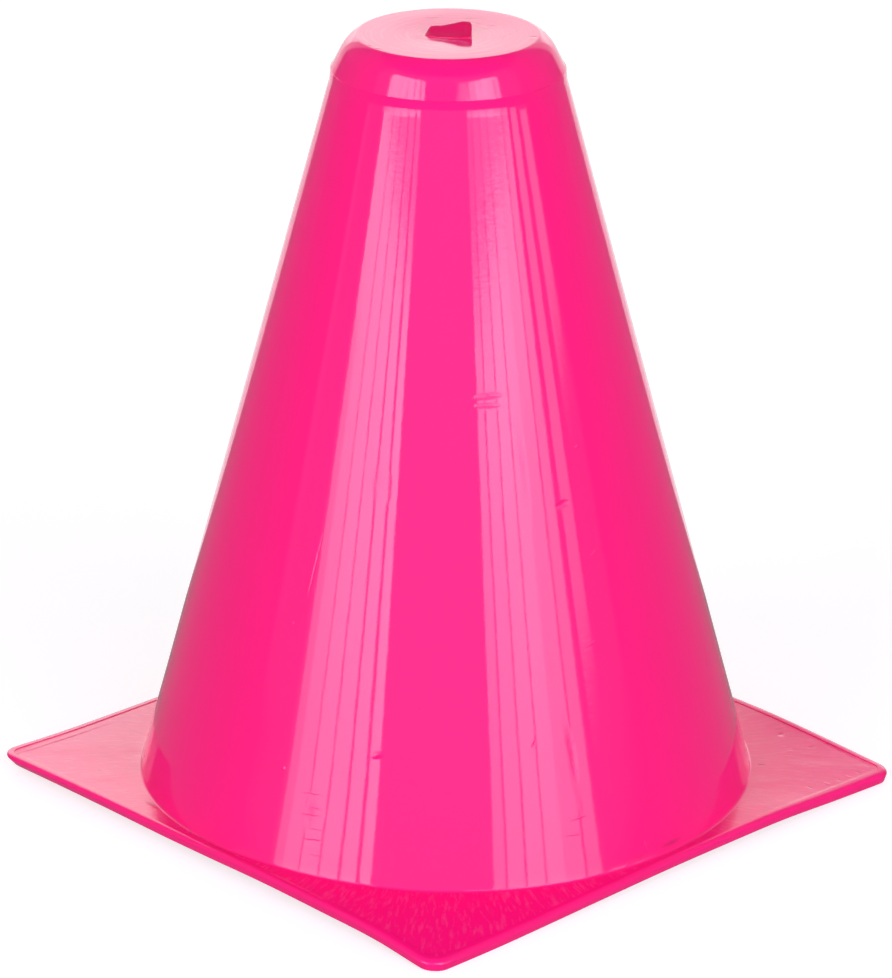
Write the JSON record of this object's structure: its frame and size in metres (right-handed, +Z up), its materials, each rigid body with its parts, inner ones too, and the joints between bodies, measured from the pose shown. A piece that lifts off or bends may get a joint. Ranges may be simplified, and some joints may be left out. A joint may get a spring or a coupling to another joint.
{
  "type": "training cone",
  "caption": "Small plastic marker cone on a square foot plate, with a coned collar and a rounded shoulder above its parting line, a flat crown and a hollow inside so that cones stack.",
  "frame": {"origin": "on the floor, under the middle of the square foot plate", "axes": "+Z up along the cone's axis, X and Y along the sides of the foot plate"},
  "size_m": [0.149, 0.149, 0.1831],
  "materials": {
    "moulded_pink_plastic": "glossy hot-pink moulded plastic, coloured through"
  },
  "bodies": {
    "root": {"cone_moulding": "moulded_pink_plastic"}
  },
  "joints": []
}
